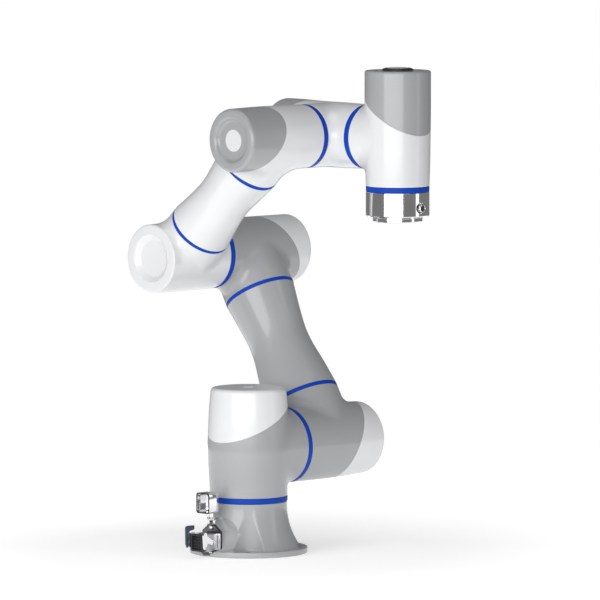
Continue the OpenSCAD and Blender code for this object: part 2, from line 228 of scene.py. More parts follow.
GREY = paint("grey_paint", (0.36, 0.365, 0.375), 0.42)
WHITE = paint("white_paint", (0.75, 0.755, 0.765), 0.36)
BLUE = plastic("blue_ring", (0.001, 0.05, 0.42), 0.5, specular=0.2)
FLANGE = metal("polished_flange", (0.86, 0.86, 0.87), 0.1, (1, 1, 14), 0.03)
CHROME = metal("chrome_trim", (0.88, 0.88, 0.89), 0.08, depth=0.02)
GUNMETAL = metal("dark_plate", (0.16, 0.16, 0.17), 0.25)
DARK_PLUG = plastic("dark_plug", (0.09, 0.09, 0.1), 0.5)
ZINC = metal("cast_zinc", (0.56, 0.57, 0.59), 0.36)
BLACK = plastic("black_plastic", (0.018, 0.018, 0.02), 0.42)
DARK = plastic("dark_lever", (0.055, 0.07, 0.11), 0.35)
SCREW = metal("screw_steel", (0.2, 0.2, 0.21), 0.35)
PALE = plastic("pale_button", (0.78, 0.79, 0.8), 0.3)
WINDING = metal("winding", (0.6, 0.33, 0.14), 0.4, (1, 1, 30), 0.3)
BOARD = plastic("board", (0.03, 0.2, 0.09), 0.45)
STEEL = metal("drive_steel", (0.6, 0.6, 0.62), 0.28, (1, 1, 20))


# ---------------------------------------------------------------- pieces
SHARP = 35  # degrees between two faces from which their edge shades hard


def publish(name, bm, matrix, material, body, slot, *nodes):
    """Turns a bmesh in millimetres into a piece that rides on a body and stands for CAD nodes."""
    bmesh.ops.recalc_face_normals(bm, faces=bm.faces)
    mesh = bpy.data.meshes.new(name)
    bm.to_mesh(mesh)
    bm.free()
    mesh.transform(matrix)
    mesh.materials.append(material)
    piece = bpy.data.objects.new(name, mesh)
    bpy.context.scene.collection.objects.link(piece)
    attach(piece, body)
    if nodes:
        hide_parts(*nodes)


def lathe(outline, steps=160, closed=False, flutes=0, flute_depth=0.0):
    """Revolves (radius, height) points about +Z; flutes are waves round the widest points."""
    bm = bmesh.new()
    angles = np.arange(steps) * 2 * math.pi / steps
    widest = max(radius for radius, _ in outline)
    rows = []
    for radius, height in outline:
        if radius < 1e-6:
            rows.append([bm.verts.new((0, 0, height))])
            continue
        wave = flute_depth * np.cos(angles * flutes) if flutes and radius > widest - 0.1 else 0 * angles
        rows.append([bm.verts.new(((radius + w) * math.cos(a), (radius + w) * math.sin(a), height))
                     for a, w in zip(angles, wave)])
    pairs = list(zip(rows, rows[1:]))
    if closed:
        pairs.append((rows[-1], rows[0]))
    for a, b in pairs:
        for i in range(steps):
            j = (i + 1) % steps
            corners = [a[i % len(a)], a[j % len(a)], b[j % len(b)], b[i % len(b)]]
            face = bm.faces.new(list(dict.fromkeys(corners)))
            face.smooth = True
    mark_sharp(bm)
    return bm


def mark_sharp(bm):
    bm.normal_update()
    limit = math.radians(SHARP)
    for edge in bm.edges:
        edge.smooth = len(edge.link_faces) == 2 and edge.calc_face_angle(0) < limit


def rounded_corner(radius, height, r, steps=4):
    """Points of a quarter round at an outer corner, from the side to the end."""
    return [(radius - r * (1 - math.cos(t)), height - r * (1 - math.sin(t)))
            for t in [math.pi / 2 * i / steps for i in range(steps + 1)]]


def loft(loops, closed=False, bevel=0.0):
    """Joins loops of as many (x, y, z) points each in turn; the ends are closed, or joined to each other."""
    bm = bmesh.new()
    rows = [[bm.verts.new(p) for p in loop] for loop in loops]
    for a, b in list(zip(rows, rows[1:])) + ([(rows[-1], rows[0])] if closed else []):
        for i in range(len(a)):
            bm.faces.new((a[i - 1], a[i], b[i], b[i - 1]))
    if not closed:
        bm.faces.new(rows[0])
        bm.faces.new(rows[-1])
    bmesh.ops.recalc_face_normals(bm, faces=bm.faces)
    if bevel:
        corners = [e for e in bm.edges if e.calc_face_angle(0) > math.radians(40)]
        bmesh.ops.bevel(bm, geom=corners, offset=bevel, segments=2, profile=0.6, affect="EDGES",
                        clamp_overlap=True)
    for face in bm.faces:
        face.smooth = len(face.verts) < 6
    mark_sharp(bm)
    return bm


def soften(outline, r, steps=4):
    """Rounds every corner of a closed outline with a short curve that starts r before it."""
    points = np.array(outline, float)
    made = []
    for before, corner, after in zip(np.roll(points, 1, 0), points, np.roll(points, -1, 0)):
        a, b = before - corner, after - corner
        a *= min(r / np.linalg.norm(a), 0.45)
        b *= min(r / np.linalg.norm(b), 0.45)
        made += [tuple(corner + a * (1 - t)**2 + b * t**2) for t in np.linspace(0, 1, steps + 1)]
    return made


def level(outline, height):
    return [(x, y, height) for x, y in outline]


def prism(outline, low, high, r=0.0, bevel=0.3):
    """An (x, y) outline, its corners softened by r, between two heights."""
    outline = soften(outline, r) if r else outline
    return loft([level(outline, low), level(outline, high)], bevel=bevel)


def square(half, middle=(0, 0)):
    x, y = middle
    return [(x + half, y + half), (x - half, y + half), (x - half, y - half), (x + half, y - half)]


def rod(radius, low, high, edge=0.3, steps=48):
    """A round rod about +Z with rounded ends."""
    top = rounded_corner(radius, high, edge)
    bottom = [(r, low + high - z) for r, z in top][::-1]
    return lathe([(0, low)] + bottom + top + [(0, high)], steps)


def carve(bm, *cutters):
    """Takes the cutters' shapes out of a mesh."""
    made = []
    for part in (bm, *cutters):
        bmesh.ops.recalc_face_normals(part, faces=part.faces)
        mesh = bpy.data.meshes.new("carve")
        part.to_mesh(mesh)
        part.free()
        made.append(bpy.data.objects.new("carve", mesh))
        bpy.context.scene.collection.objects.link(made[-1])
    for tool in made[1:]:
        cutting = made[0].modifiers.new("carve", "BOOLEAN")
        cutting.operation = "DIFFERENCE"
        cutting.solver = "EXACT"
        cutting.object = tool
    result = bmesh.new()
    result.from_object(made[0], bpy.context.evaluated_depsgraph_get())
    for o in made:
        mesh = o.data
        bpy.data.objects.remove(o)
        bpy.data.meshes.remove(mesh)
    mark_sharp(result)
    return result


def placed(bm, at, along_x=False):
    """Moves a mesh made about +Z, turned first to lie along +X if asked."""
    if along_x:
        bm.transform(Matrix.Rotation(math.pi / 2, 4, "Y"))
    bm.transform(Matrix.Translation(at))
    return bm


def smooth_outline(points):
    """A smooth radius along an axis through a few (place, radius) points."""
    place, radius = np.array(points, float).T
    slope = np.gradient(radius, place)

    def value(at):
        at = np.clip(at, place[0], place[-1])
        i = np.clip(np.searchsorted(place, at, side="right") - 1, 0, len(place) - 2)
        h = place[i + 1] - place[i]
        t = (at - place[i]) / h
        return ((2 * t**3 - 3 * t**2 + 1) * radius[i] + (t**3 - 2 * t**2 + t) * h * slope[i]
                + (3 * t**2 - 2 * t**3) * radius[i + 1] + (t**3 - t**2) * h * slope[i + 1])
    return value


# ---------------------------------------------------------------- blended solids from distance fields
VOXEL = 1.6


def round_and(a, b, r):
    """Inside both, the outer edge rounded by r."""
    u, v = a + r, b + r
    return np.minimum(np.maximum(u, v), 0) + np.hypot(np.maximum(u, 0), np.maximum(v, 0)) - r


def round_or(a, b, r):
    """Inside either, the inner corner filled by a round of r."""
    return -round_and(-a, -b, r)


def slope_of(field, p):
    """Gradient of a field at points, by central differences."""
    step = 0.02
    return np.stack([(field(p + d) - field(p - d)) / (2 * step) for d in np.eye(3) * step], -1)


def solid(field, low, high, voxel=VOXEL):
    """A mesh of the surface where field is zero, its points moved exactly on to it."""
    axes = [np.arange(a, b, voxel) for a, b in zip(low, high)]
    grid = openvdb.FloatGrid(3 * voxel)
    points = np.stack(np.meshgrid(*axes, indexing="ij"), -1)
    grid.copyFromArray(np.clip(field(points), -3 * voxel, 3 * voxel))
    at, _, quads = grid.convertToPolygons(0.0, 0.0)
    at = at * voxel + np.array(low)
    for _ in range(4):
        slope = slope_of(field, at)
        at = at - slope * (field(at) / np.maximum((slope**2).sum(-1), 0.05))[:, None]
    mesh = bpy.data.meshes.new("solid")
    mesh.from_pydata(at.tolist(), [], quads.tolist())
    bm = bmesh.new()
    bm.from_mesh(mesh)
    bpy.data.meshes.remove(mesh)
    for face in bm.faces:
        face.smooth = True
    return bm


def grow(bm, rim):
    """Extrudes a rim of edges; gives the new rim and its points."""
    grown = bmesh.ops.extrude_edge_only(bm, edges=rim)["geom"]
    verts = [g for g in grown if isinstance(g, bmesh.types.BMVert)]
    fresh = set(verts)
    return [g for g in grown if isinstance(g, bmesh.types.BMEdge) and fresh.issuperset(g.verts)], verts


def cut(bm, field, point, outward, edge=0.8, well=None, hollow=False):
    """Cuts off what lies outward of a plane, rounds the new rim by edge and closes it flat.

    well is the (radius, depth) of a round sinking in the closing face. hollow closes a section with a hole.
    """
    outward = np.array(outward, float) / np.linalg.norm(outward)
    plane = np.array(point, float) - outward * edge
    found = bmesh.ops.bisect_plane(bm, geom=bm.verts[:] + bm.edges[:] + bm.faces[:], dist=1e-4,
                                   plane_co=plane, plane_no=outward, clear_outer=True)["geom_cut"]
    rim = [g for g in found if isinstance(g, bmesh.types.BMEdge)]
    steps = 3
    for row in range(1, steps + 1):
        turn = math.pi / 2 * row / steps
        rim, verts = grow(bm, rim)
        if row == 1:
            first = np.array([v.co for v in verts])
            slope = slope_of(field, first)
            slope -= (slope @ outward)[:, None] * outward
            slope /= np.linalg.norm(slope, axis=1)[:, None]
        moved = first + outward * edge * math.sin(turn) - slope * edge * (1 - math.cos(turn))
        for v, co in zip(verts, moved):
            v.co = co
    for face in {f for e in rim for f in e.link_faces}:
        face.smooth = True
    if well:
        radius, depth = well
        rim, verts = grow(bm, rim)
        for v in verts:
            v.co.xy = v.co.xy.normalized() * radius
        rim, verts = grow(bm, rim)
        for v in verts:
            v.co -= Vector(outward) * depth
    if hollow:
        bmesh.ops.triangle_fill(bm, edges=rim, use_beauty=True)
    else:
        bmesh.ops.contextual_create(bm, geom=rim)
    mark_sharp(bm)
    return bm


DISH_DEPTH = 5.5  # of the round sinking in two of the caps
LID_WELL = (36.4, 9)  # radius and depth of the well that takes the elbow lid's plug
SEAM_EDGE = 0.35  # rounding of the two rims where a cap meets its housing


def casing(side, end, edge, branch_r, branch_l, fillet, dish=None):
    """Field of a joint housing: a barrel along +Z, and a branch along +X blended into it."""
    barrel_r = smooth_outline(side)
    root_r = min(branch_r, float(barrel_r(0)) - 0.6)

    def field(p):
        x, y, z = p[..., 0], p[..., 1], p[..., 2]
        across = np.hypot(x, y)
        barrel = round_and(across - barrel_r(z), z - end, edge)
        if dish:
            barrel = round_and(barrel, -dish_field(across, z, end, dish), 1.6)
        reach = np.hypot(y, z)
        along = np.clip(x / branch_l, 0, 1)
        swell = root_r + (branch_r - root_r) * along**2 * (3 - 2 * along)
        branch = np.maximum(reach - swell, -x)
        facing = np.clip(y * y / np.maximum(across * reach, 1), 0, 1)
        return round_or(barrel, branch, fillet * (1 - facing**2) + 0.05)
    return field


def dish_field(across, z, end, dish):
    """Round sinking in an end face; dish is its (radius at the face, radius at its floor)."""
    slope = (dish[0] - dish[1]) / DISH_DEPTH
    wall = across - dish[0] - (z - end) * slope
    return round_and(wall / math.hypot(1, slope), end - DISH_DEPTH - z, 1.2)


def make_lid(barrel_end, radius, low, dish):
    """A round lid with a dished face and a thin groove, whose plug sits in the housing's well."""
    rim_r, floor_r = dish
    floor = barrel_end - DISH_DEPTH
    floor_round, brim_round, groove_depth, plug_depth = 1.6, 1.2, 0.35, 5
    lean = math.atan2(DISH_DEPTH, rim_r - floor_r)
    turns = np.linspace(0, lean, 5)
    soft = [(floor_r - 1 + floor_round * math.sin(t), floor + floor_round - floor_round * math.cos(t))
            for t in turns]
    brim = [(rim_r + 0.5 - brim_round * math.sin(t), barrel_end - brim_round + brim_round * math.cos(t))
            for t in turns[::-1]]
    groove = [(rim_r + 1.1, barrel_end), (rim_r + 1.3, barrel_end - groove_depth),
              (rim_r + 1.7, barrel_end - groove_depth), (rim_r + 1.9, barrel_end)]
    side = rounded_corner(radius, barrel_end, 2.1, steps=6)[::-1]
    plug = LID_WELL[0] - 0.2
    return lathe([(0, floor), *soft, *brim, *groove, *side, (radius, low + 0.6), (radius - 0.6, low + 0.15),
                  (plug, low), (plug, low - plug_depth), (0, low - plug_depth)])


def make_casing(name, place, side, end, edge, branch, fillet, seam, body, looks, dish=None, lid=False):
    """Makes a housing and its end cap, in place of the CAD nodes name_housing and name_cap.

    side lists (height, radius) from the joint's ring to the end. branch is (radius, length), seam is
    (height, tilt), dish is (radius at the face, radius at its floor). looks holds two (material, slot).
    """
    field = casing(side, end, edge, branch[0], branch[1], fillet, None if lid else dish)
    start = side[0][0]
    r = max(p[1] for p in side) + 4
    low, high = (-r, -r, start - 3), (branch[1] + 3, r, end + 3)
    whole = solid(field, low, high)
    tilt = np.array([-seam[1], 0, 1])
    middle = (0, 0, seam[0])
    housing = whole.copy()
    cut(housing, field, (0, 0, start), (0, 0, -1))
    cut(housing, field, (branch[1], 0, 0), (1, 0, 0))
    cut(housing, field, middle, tilt, SEAM_EDGE, LID_WELL if lid else None)
    cap = make_lid(barrel_end=end, radius=side[-1][1], low=seam[0], dish=dish) if lid \
        else cut(whole, field, middle, -tilt, SEAM_EDGE)
    publish(f"{name}_housing_shell", housing, place, looks[0][0], body, looks[0][1], f"{name}_housing")
    publish(f"{name}_cap_shell", cap, place, looks[1][0], body, looks[1][1], f"{name}_cap")


GREY_LOOK = (GREY, "grey_paint")
WHITE_LOOK = (WHITE, "white_paint")
CAP_LOOK = (WHITE, "white_cap")


WRIST_CAP_END = 70.9


def make_casings():
    make_casing("shoulder", local_frame(SHOULDER, Y, Z), body="shoulder", looks=(GREY_LOOK, CAP_LOOK),
                side=[(RINGS[0][1] - SHOULDER[2], RING_R[0]), (-45, 50), (-30, 51), (0, 52), (24, 51.3),
                      (47, 50.4), (62, 49.2), (73, 48.2)],
                end=78.2, edge=5, branch=(RING_R[1], RINGS[1][0] - GAP), fillet=14, seam=(37.6, 0.52))
    low_origin = np.array([0, UPPER_Y, SHOULDER[2]])
    make_casing("upper_arm_lower", local_frame(low_origin, UPPER_DIR, Y), body="upper_arm",
                looks=(GREY_LOOK, CAP_LOOK),
                side=[(RINGS[1][1] - UPPER_Y, RING_R[1]), (-30, 48.6), (10, 48.6), (45, 47.6), (68, 46.4)],
                end=75, edge=5, branch=(48.6, UPPER_TRIM[0] - TRIM_W / 2), fillet=12, seam=(41.5, 0.55))
    high_origin = np.array([ELBOW[0], UPPER_Y, ELBOW[2]])
    make_casing("upper_arm_elbow", local_frame(high_origin, -UPPER_DIR, Y), body="upper_arm",
                looks=(GREY_LOOK, CAP_LOOK),
                side=[(RINGS[2][1] - UPPER_Y, RING_R[2]), (-30, 44.4), (30, 44.4), (76, 44.2)],
                end=83, edge=5, branch=(46, UPPER_L - UPPER_TRIM[1] - TRIM_W / 2), fillet=12,
                seam=(44.5, 0.53))
    fore_origin = np.array([ELBOW[0], FORE_Y, ELBOW[2]])
    make_casing("forearm_elbow", local_frame(fore_origin, FORE_DIR, -Y), body="forearm",
                looks=(WHITE_LOOK, CAP_LOOK),
                side=[(FORE_Y - RINGS[2][0] + GAP, RING_R[2]), (0, 44.2), (30, 44.2), (46, 43.6)],
                end=50.8, edge=2.4, branch=(41.3, FORE_TRIM[0] - TRIM_W / 2), fillet=12, seam=(48.3, 0),
                dish=(30.4, 24), lid=True)
    wrist_origin = np.array([WRIST[0], FORE_Y, WRIST[2]])
    make_casing("forearm_wrist", local_frame(wrist_origin, -FORE_DIR, -Y), body="forearm",
                looks=(WHITE_LOOK, GREY_LOOK),
                side=[(FORE_Y - RINGS[3][0], RING_R[3]), (-30, 41), (30, 41), (62, 40.4)],
                end=WRIST_CAP_END, edge=5, branch=(41.2, FORE_L - FORE_TRIM[1] - TRIM_W / 2), fillet=19,
                seam=(33.3, 0.64), dish=(28.6, 25.2))
    make_casing("wrist1", local_frame(WRIST, -Y, -X), body="wrist_1", looks=(WHITE_LOOK, GREY_LOOK),
                side=[(WRIST[0] - RINGS[4][0], RING_R[4]), (-30, 41.6), (20, 42), (60, 43), (81, 43)],
                end=86, edge=5, branch=(RING_R[3], WRIST[1] - RINGS[3][1] - GAP), fillet=14, seam=(35, 0.66))
    make_casing("wrist2", local_frame(LAST, -X, Z), body="wrist_2", looks=(WHITE_LOOK, GREY_LOOK),
                side=[(RINGS[5][1] - LAST[2], RING_R[5]), (-30, 41.2), (0, 41.6), (34, 42), (82, 42)],
                end=86.2, edge=2.4, branch=(RING_R[4], LAST[0] - RINGS[4][1] - GAP), fillet=14,
                seam=(32.2, 0.66))


make_casings()


# ---------------------------------------------------------------- rings and tubes
def ring_outline(outer, inner, low, high, r=0.9):
    """Section of a ring whose two outer corners are rounded by r."""
    bottom = [(rad, low + (high - h)) for rad, h in rounded_corner(outer, high, r)][::-1]
    return [(inner, low)] + bottom + rounded_corner(outer, high, r) + [(inner, high)]


def make_rings():
    places = [local_frame([0, 0, 0], X, Z), local_frame([0, 0, SHOULDER[2]], X, Y),
              local_frame([ELBOW[0], 0, ELBOW[2]], X, Y), local_frame([WRIST[0], 0, WRIST[2]], X, Y),
              local_frame([0, WRIST[1], WRIST[2]], Y, X), local_frame([LAST[0], LAST[1], 0], X, Z)]
    bodies = ["shoulder", "upper_arm", "upper_arm", "forearm", "wrist_1", "wrist_2"]
    for i, (place, body) in enumerate(zip(places, bodies)):
        outline = ring_outline(RING_R[i], RING_R[i] - RING_DEPTH, *RINGS[i])
        publish(f"joint_{i + 1}_ring", lathe(outline, closed=True), place, BLUE, body, "blue_ring",
                f"j{i + 1}_ring")


def make_tube(name, place, points, inner, material, slot, body):
    """A waisted tube: points are (height, radius) and inner is the bore's radius."""
    radius = smooth_outline(points)
    stations = np.linspace(points[0][0], points[-1][0], 60)
    outer = [(float(radius(s)), float(s)) for s in stations]
    outline = [(inner, stations[0]), *outer, (inner, stations[-1])]
    publish(name + "_shell", lathe(outline, closed=True), place, material, body, slot, name)


def make_trim(name, place, radii, at, body):
    for i, (r, s) in enumerate(zip(radii, at)):
        outline = ring_outline(r, r - RING_DEPTH, s - TRIM_W / 2, s + TRIM_W / 2, 0.8)
        publish(f"{name}_{i + 1}", lathe(outline, closed=True), place, BLUE, body, "blue_ring", name)


def make_tubes():
    upper = local_frame([0, UPPER_Y, SHOULDER[2]], Y, UPPER_DIR)
    half = TRIM_W / 2
    make_tube("upper_arm_tube", upper,
              [(UPPER_TRIM[0] + half, 48.6), (75, 47.2), (92, 45), (108, 42.5), (122, 40.2), (136, 38.8),
               (148, 38.6), (162, 39.6), (178, 41.4), (193, 43.3), (UPPER_TRIM[1] - half, 45.6)],
              34, GREY, "grey_paint", "upper_arm")
    make_trim("upper_arm_rings", upper, (48.6, 46), UPPER_TRIM, "upper_arm")
    fore = local_frame([ELBOW[0], FORE_Y, ELBOW[2]], Y, FORE_DIR)
    make_tube("forearm_tube", fore,
              [(FORE_TRIM[0] + half, 41.2), (68, 39.6), (82, 37.6), (98, 35.8), (112, 34.8), (124, 35.2),
               (138, 36.8), (154, 38.8), (168, 40.4), (FORE_TRIM[1] - half, 41.1)],
              30, WHITE, "white_paint", "forearm")
    make_trim("forearm_rings", fore, (41.2, 41.2), FORE_TRIM, "forearm")


make_rings()
make_tubes()


# ---------------------------------------------------------------- base
FLANGE_R = 75
FLANGE_T = 7.3
FLARE_TOP = RINGS[0][0] - GAP
NECK_R = 49.2
SPREAD = 18.8  # how far the flare widens from the neck to the flange
CAVITY_R = 40
CAVITY_TOP = 55
BOLT_AT = 46.67  # of each bolt from both middle planes
BOLT_HOLE_R = 4.25
CHANNEL_R = 20
CHANNEL_AT = 69 * math.sqrt(0.5)
POCKET_R, POCKET_Z, POCKET_DEPTH = 31, 17, 3.2  # arched sinking on both sides of the boss
BOSS_HALF, BOSS_EAVES = 15, 31  # half width of the connector's boss, and where its 45 degree roof starts
PLATE_Y = -64
NOTCH_HALF, NOTCH_TIP, NOTCH_RUN = 18.2, 4.8, 1.396  # V of the connector's plate, cut into the foot
NOTCH = [(-NOTCH_HALF, 17), (-NOTCH_HALF, 10.6), (-NOTCH_TIP, 1), (-NOTCH_TIP, -1), (NOTCH_TIP, -1),
         (NOTCH_TIP, 1), (NOTCH_HALF, 10.6), (NOTCH_HALF, 17)]
WORLD_PLACE = local_frame([0, 0, 0], X, Z)


def base_field(p):
    """Flared casting with four upright bolt channels and a blended boss behind the connector."""
    x, y, z = p[..., 0], p[..., 1], p[..., 2]
    across = np.hypot(x, y)
    front = y + 20
    fall = np.clip((FLARE_TOP - z) / (FLARE_TOP - FLANGE_T), 0, 1.1)
    flare = (across - NECK_R - SPREAD * fall**2.1) * 0.85
    arch = np.where(z > POCKET_Z, np.hypot(x, z - POCKET_Z), np.abs(x)) - POCKET_R
    pocket = np.maximum(np.maximum(arch, -flare - POCKET_DEPTH), front)
    flare = round_and(flare, -pocket, 1.5)
    side = np.abs(x) - BOSS_HALF
    roof = (side + z - BOSS_EAVES) * math.sqrt(0.5)
    boss = np.maximum(round_and(np.maximum(side, roof), PLATE_Y - y, 1.0), front)
    blend = 12 - 7 * np.clip((z - 28) / 18, 0, 1)
    body = round_or(flare, boss, blend)
    channel = np.hypot(np.abs(x) - CHANNEL_AT, np.abs(y) - CHANNEL_AT) - CHANNEL_R
    body = round_and(body, -channel, 1.2)
    near_boss = np.clip((-y / np.maximum(across, 1) - 0.72) / 0.22, 0, 1)
    body = round_or(body, z - FLANGE_T + 0.3, 0.8 + 9 * near_boss)
    body = np.maximum(body, across - FLANGE_R + 1.5)
    foot = np.maximum(np.abs(x) - NOTCH_HALF, (np.abs(x) - NOTCH_TIP - (z - 1) * NOTCH_RUN) * 0.58)
    body = round_and(body, -np.maximum(foot, y - PLATE_Y), 0.4)
    return round_and(body, -np.maximum(across - CAVITY_R, z - CAVITY_TOP), 1.0)


def make_base():
    low, high = (-FLANGE_R, -FLANGE_R, 2), (FLANGE_R, FLANGE_R, FLARE_TOP + 3)
    body = solid(base_field, low, high, 1.3)
    cut(body, base_field, (0, 0, FLANGE_T - 2), (0, 0, -1), 0.2, hollow=True)
    cut(body, base_field, (0, 0, FLARE_TOP), (0, 0, 1), 0.5)
    publish("base_casting_shell", body, WORLD_PLACE, GREY, "base", "grey_paint", "base_casting")
    outline = ring_outline(FLANGE_R, CAVITY_R, 0, FLANGE_T, 0.8)
    holes = [placed(rod(BOLT_HOLE_R, -1, FLANGE_T + 1), at=(sx * BOLT_AT, sy * BOLT_AT, 0))
             for sx in (-1, 1) for sy in (-1, 1)]
    notch = loft([[(x, y, z) for x, z in NOTCH] for y in (-90, PLATE_Y)])
    disc = carve(lathe(outline, 192, closed=True), notch, *holes)
    publish("base_flange", disc, WORLD_PLACE, GREY, "base", "grey_paint", "base_casting")


# ---------------------------------------------------------------- connector on the base, cover and levers
CONNECTOR_Z = 19
HINGE = (-66.8, 47.5)  # y and z of the cover's hinge
SCREW_Z = (4.6, 36.5)
PEG_OUT = 13  # of the levers' pegs from the plate
HOUSING_END = 22
ON_PLATE = local_frame([0, PLATE_Y, 0], X, -Y)
MIDDLE = (0, CONNECTOR_Z)
PLATE_OUTLINE = [(-17.5, 11), (-4, 1.5), (4, 1.5), (17.5, 11), (17.5, 32), (4, 42), (1.8, 45), (-1.8, 45),
                 (-4, 42), (-17.5, 32)]


def make_plate():
    def add(name, bm, material, slot):
        publish(name, bm, ON_PLATE, material, "base", slot, "connector_plate")
    add("connector_gasket", prism(PLATE_OUTLINE, 0, 1.2, 1.2, 0.3), BLACK, "black_plastic")
    shrink = 0.95
    inset = [(x * shrink, CONNECTOR_Z + (z - CONNECTOR_Z) * shrink) for x, z in PLATE_OUTLINE]
    add("connector_plate_face", prism(inset, 1.2, 1.8, 1.2, 0.25), GUNMETAL, "cast_zinc")
    bezel = [level(soften(outline, 2), depth) for outline, depth in (
        (square(16.4, MIDDLE), 1.8), (square(16.4, MIDDLE), 2.5), (square(11.8, MIDDLE), 2.5),
        (square(11.8, MIDDLE), 1.8))]
    flat = [[(x, CONNECTOR_Z + (y - CONNECTOR_Z) * 0.7, d) for x, y, d in loop] for loop in bezel]
    add("connector_plate_rim", loft(flat, closed=True, bevel=0.2), CHROME, "cast_zinc")
    turn = local_frame([0, HINGE[0], HINGE[1]], Y, X)
    for side, low in (("left", -6), ("right", 3.1)):
        publish(f"hinge_knuckle_{side}", rod(1.9, low, low + 2.9), turn, CHROME, "base", "cast_zinc",
                "connector_plate")
        lug = [(low + 2.9, 41), (low + 2.9, HINGE[1]), (low, HINGE[1]), (low, 41)]
        publish(f"hinge_lug_{side}", prism(lug, 0.2, 2.5, 0.4, 0.2), ON_PLATE, CHROME, "base", "cast_zinc",
                "connector_plate")
    publish("hinge_pin", rod(0.9, -6, 6, 0.2, 32), turn, STEEL, "base", "cast_zinc", "connector_plate")


def make_screws():
    for i, z in enumerate(SCREW_Z):
        head = lathe([(0, 2.6), (1.3, 2.6), (1.3, 4.1), (2.3, 4.3), (2.8, 3.8), (2.8, 2.5), (1.65, 2.5),
                      (1.65, -3.8), (0, -3.8)], 48)
        publish(f"connector_screw_{i + 1}", placed(head, at=(0, z, 0)), ON_PLATE, CHROME, "base",
                "screw_steel", "connector_screws")


def make_housing():
    outline, bore = soften(square(11.5, MIDDLE), 2.2), soften(square(9, MIDDLE), 1.4)
    tube = loft([level(outline, 2.5), level(outline, HOUSING_END), level(bore, HOUSING_END),
                 level(bore, 2.5)], closed=True, bevel=0.35)
    publish("connector_housing_shell", tube, ON_PLATE, ZINC, "base", "cast_zinc", "connector_housing")
    for side, low in (("near", 11.4), ("far", -14.5)):
        peg = placed(rod(2, low, low + 3.1), along_x=True, at=(0, CONNECTOR_Z, PEG_OUT))
        publish(f"lever_peg_{side}", peg, ON_PLATE, CHROME, "base", "cast_zinc", "connector_housing")


def make_insert():
    head, mouth = soften(square(11, MIDDLE), 2), soften(square(8.6, MIDDLE), 1.2)
    core = soften(square(8.9, MIDDLE), 1.2)
    body = loft([level(core, 2.6), level(core, 22.1), level(head, 22.1), level(head, 28), level(mouth, 28),
                 level(mouth, 24)], bevel=0.3)
    publish("connector_insert_body", body, ON_PLATE, BLACK, "base", "black_plastic", "connector_insert")
    spots = [(x, z) for x in (-6, -2, 2, 6) for z in (-6, -2, 2, 6)]
    pins = bmesh.new()
    for x, z in spots:
        pin = placed(rod(0.55, 23.5, 27, 0.3, 16), at=(x, CONNECTOR_Z + z, 0))
        mesh = bpy.data.meshes.new("pin")
        pin.to_mesh(mesh)
        pin.free()
        pins.from_mesh(mesh)
        bpy.data.meshes.remove(mesh)
    publish("connector_pins", pins, ON_PLATE, SCREW, "base", "screw_steel", "connector_insert")


# Outlines in (y, z), the outer end first
NEAR_LEVER = [(-94, 30), (-92, 33), (-88, 33), (-86.5, 28), (-80, 24), (-77, 23.2), (-73, 20.5), (-73, 17),
              (-77, 14.8), (-86, 19), (-88.5, 13), (-90.5, 10.5), (-92.5, 12)]
FAR_LEVER = [(-99, 38), (-97, 40), (-84, 40), (-84, 34.5), (-93, 33), (-93, 27), (-80, 25), (-77, 23.2),
             (-73, 20.5), (-73, 17), (-77, 14.8), (-93, 21), (-94, 14), (-96, 11.5), (-98.5, 16)]
CLIP_OUTLINE = [(-96, 31.5), (-84, 31.5), (-84, 28.5), (-89, 27), (-89, 19), (-91.5, 12.5), (-93.5, 12.5),
                (-95, 18), (-93, 23), (-96, 26)]
LEVER_T = 2.4


def make_levers():
    for name, body, outline, low, material, slot in (
            ("lever_near", "near_lever", NEAR_LEVER, 12, CHROME, "chrome_trim"),
            ("lever_far", "far_lever", FAR_LEVER, -14.4, DARK, "dark_lever")):
        place = local_frame([low, 0, 0], Y, X)
        bore = placed(rod(2.06, -1, 4, 0.1), at=(PLATE_Y - PEG_OUT, CONNECTOR_Z, 0))
        plate = carve(prism(outline, 0, LEVER_T, 1.6, 0.45), bore)
        publish(f"{name}_plate", plate, place, material, body, slot, name)
    clip = prism(CLIP_OUTLINE, 0, 0.34, 0.8, 0.08)
    publish("lever_far_clip", clip, local_frame([-12.02, 0, 0], Y, X), CHROME, "far_lever", "chrome_trim",
            "lever_far")


COVER_Z = (55.5, 81.8)
COVER_HALF = 11.6
COVER_OUT = 16.9
SEAL_OUT = 17.6


def make_cover():
    middle = sum(COVER_Z) / 2
    half = (COVER_Z[1] - COVER_Z[0]) / 2

    def oblong(inset, height):
        outline = soften(square(half - inset), 4)
        return level([(x * (COVER_HALF - inset) / (half - inset), y + middle) for x, y in outline], height)
    cup = loft([oblong(0, 0.8), oblong(0, COVER_OUT), oblong(1.5, COVER_OUT), oblong(1.9, 2.4)], bevel=0.35)
    publish("connector_cover_cup", cup, ON_PLATE, CHROME, "connector_cover", "chrome_trim", "connector_cover")
    seal = loft([oblong(0, COVER_OUT), oblong(0, SEAL_OUT), oblong(1.6, SEAL_OUT), oblong(1.6, COVER_OUT)],
                closed=True, bevel=0.2)
    publish("connector_cover_seal", seal, ON_PLATE, BLACK, "connector_cover", "black_plastic",
            "connector_cover")
    knuckle = carve(rod(1.9, -2.8, 2.8), rod(0.96, -4, 4, 0.1))
    publish("connector_cover_knuckle", knuckle, local_frame([0, HINGE[0], HINGE[1]], Y, X), CHROME,
            "connector_cover", "chrome_trim", "connector_cover")
    strap = prism([(2.8, HINGE[1] + 1.2), (2.8, 57), (-2.8, 57), (-2.8, HINGE[1] + 1.2)], 0.9, 2.4, 0.6, 0.2)
    publish("connector_cover_strap", strap, ON_PLATE, CHROME, "connector_cover", "chrome_trim",
            "connector_cover")


